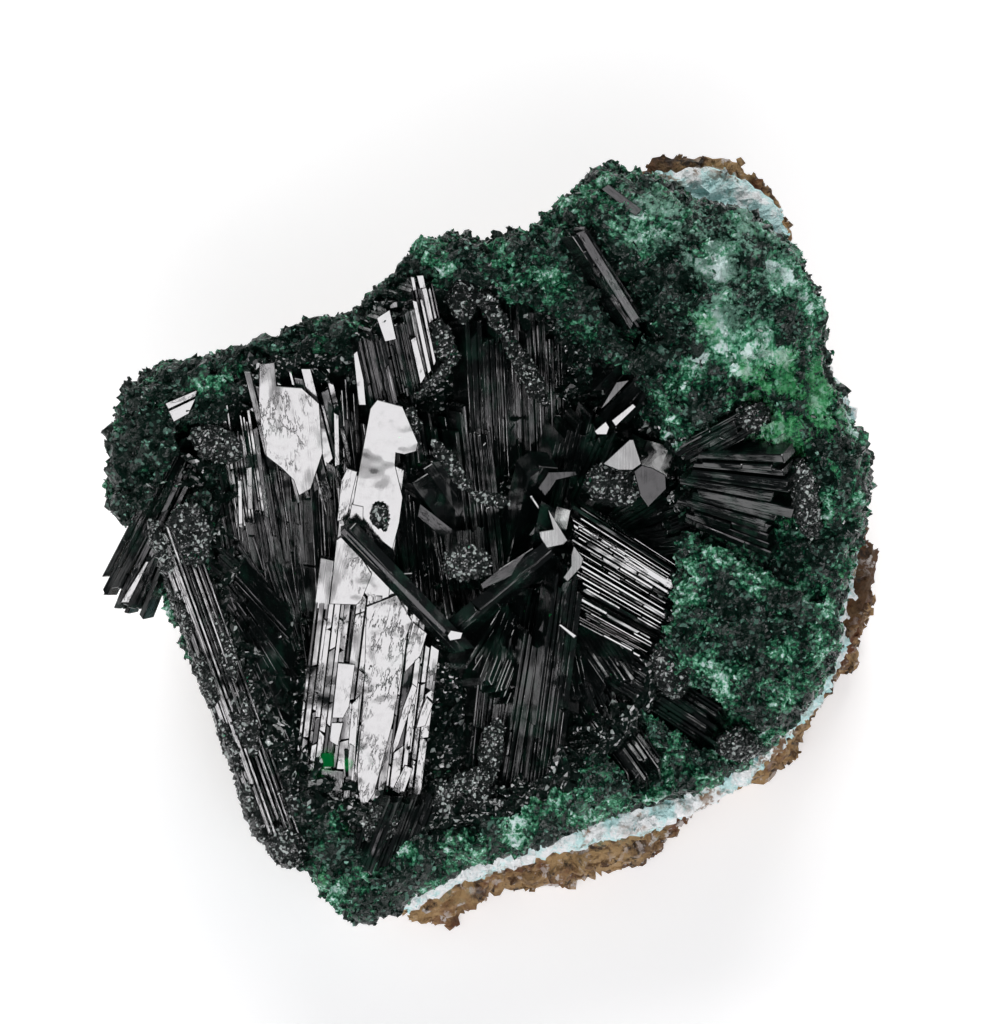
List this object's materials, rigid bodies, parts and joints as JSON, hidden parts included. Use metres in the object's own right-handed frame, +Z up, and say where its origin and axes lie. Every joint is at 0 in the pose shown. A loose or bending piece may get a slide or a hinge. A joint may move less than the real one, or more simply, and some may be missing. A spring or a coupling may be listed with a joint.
{
  "type": "atacamite specimen",
  "caption": "Loose mineral specimen: a layered ore matrix with a hollow full of long, dark, glassy green-black prisms.",
  "frame": {"origin": "centre of the bounding box's underside, in the plane of the flat resting face", "axes": "+Z up from the resting face; +X across the crystal face as the picture shows it; the crystal face looks up and towards -Y"},
  "size_m": [0.0466, 0.0456, 0.0341],
  "materials": {
    "limonite": "matt, porous, rusty to ochre brown with pale patches",
    "chrysocolla": "chalky, pale turquoise, nearly white in places",
    "green_crust": "granular, dark green to malachite green, with pale mint and sparkling grains",
    "atacamite": "glassy, nearly black green, striated along the prisms, broad faces mirror bright"
  },
  "bodies": {
    "root": {"limonite_base": "limonite", "chrysocolla_layer": "chrysocolla", "green_crust": "green_crust", "hollow_crystals": "atacamite", "edge_prism": "atacamite", "outlying_blades": "atacamite", "crest_prism": "atacamite"}
  },
  "joints": []
}
